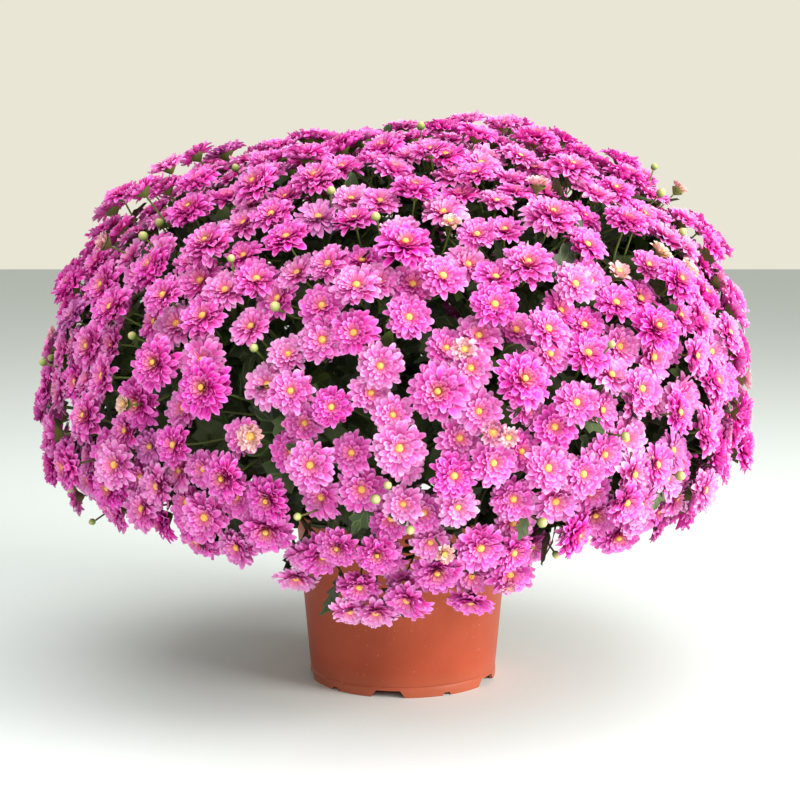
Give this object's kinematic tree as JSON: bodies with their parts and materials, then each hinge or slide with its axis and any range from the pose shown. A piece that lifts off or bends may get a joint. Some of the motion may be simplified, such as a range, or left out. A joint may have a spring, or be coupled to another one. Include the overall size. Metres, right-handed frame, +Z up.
{
  "type": "pot chrysanthemum",
  "caption": "Garden chrysanthemum in full flower: a dome of pink double blooms over lobed leaves, in a terracotta-coloured plastic pot.",
  "frame": {"origin": "on the floor, under the middle of the pot", "axes": "+Z up, -Y towards the front as pictured, +X to the right"},
  "size_m": [0.6078, 0.6076, 0.4822],
  "materials": {
    "terracotta_plastic": "moulded, satin",
    "potting_soil": "crumbly peat and bark",
    "green_foliage": "soft satin leaf",
    "pink_petals": "soft matt petal"
  },
  "bodies": {
    "root": {"pot": "terracotta_plastic", "potting_soil": "potting_soil", "leafy_stems_1": "green_foliage", "leafy_stems_2": "green_foliage", "leafy_stems_3": "green_foliage", "leafy_stems_4": "green_foliage", "leafy_stems_5": "green_foliage", "spray_01": "pink_petals", "spray_02": "pink_petals", "spray_03": "pink_petals", "spray_04": "pink_petals", "spray_05": "pink_petals", "spray_06": "pink_petals", "spray_07": "pink_petals", "spray_08": "pink_petals", "spray_09": "pink_petals", "spray_10": "pink_petals", "spray_11": "pink_petals", "spray_12": "pink_petals", "spray_13": "pink_petals", "spray_14": "pink_petals", "spray_15": "pink_petals", "spray_16": "pink_petals", "spray_17": "pink_petals", "spray_18": "pink_petals", "spray_19": "pink_petals", "spray_20": "pink_petals", "spray_21": "pink_petals", "spray_22": "pink_petals", "spray_23": "pink_petals", "spray_24": "pink_petals", "spray_25": "pink_petals", "spray_26": "pink_petals", "spray_27": "pink_petals", "spray_28": "pink_petals", "spray_29": "pink_petals", "spray_30": "pink_petals", "spray_31": "pink_petals", "spray_32": "pink_petals", "spray_33": "pink_petals", "spray_34": "pink_petals", "spray_35": "pink_petals", "spray_36": "pink_petals", "spray_37": "pink_petals", "spray_38": "pink_petals", "spray_39": "pink_petals", "spray_40": "pink_petals", "spray_41": "pink_petals", "spray_42": "pink_petals", "spray_43": "pink_petals", "spray_44": "pink_petals", "spray_45": "pink_petals", "spray_46": "pink_petals"}
  },
  "joints": []
}
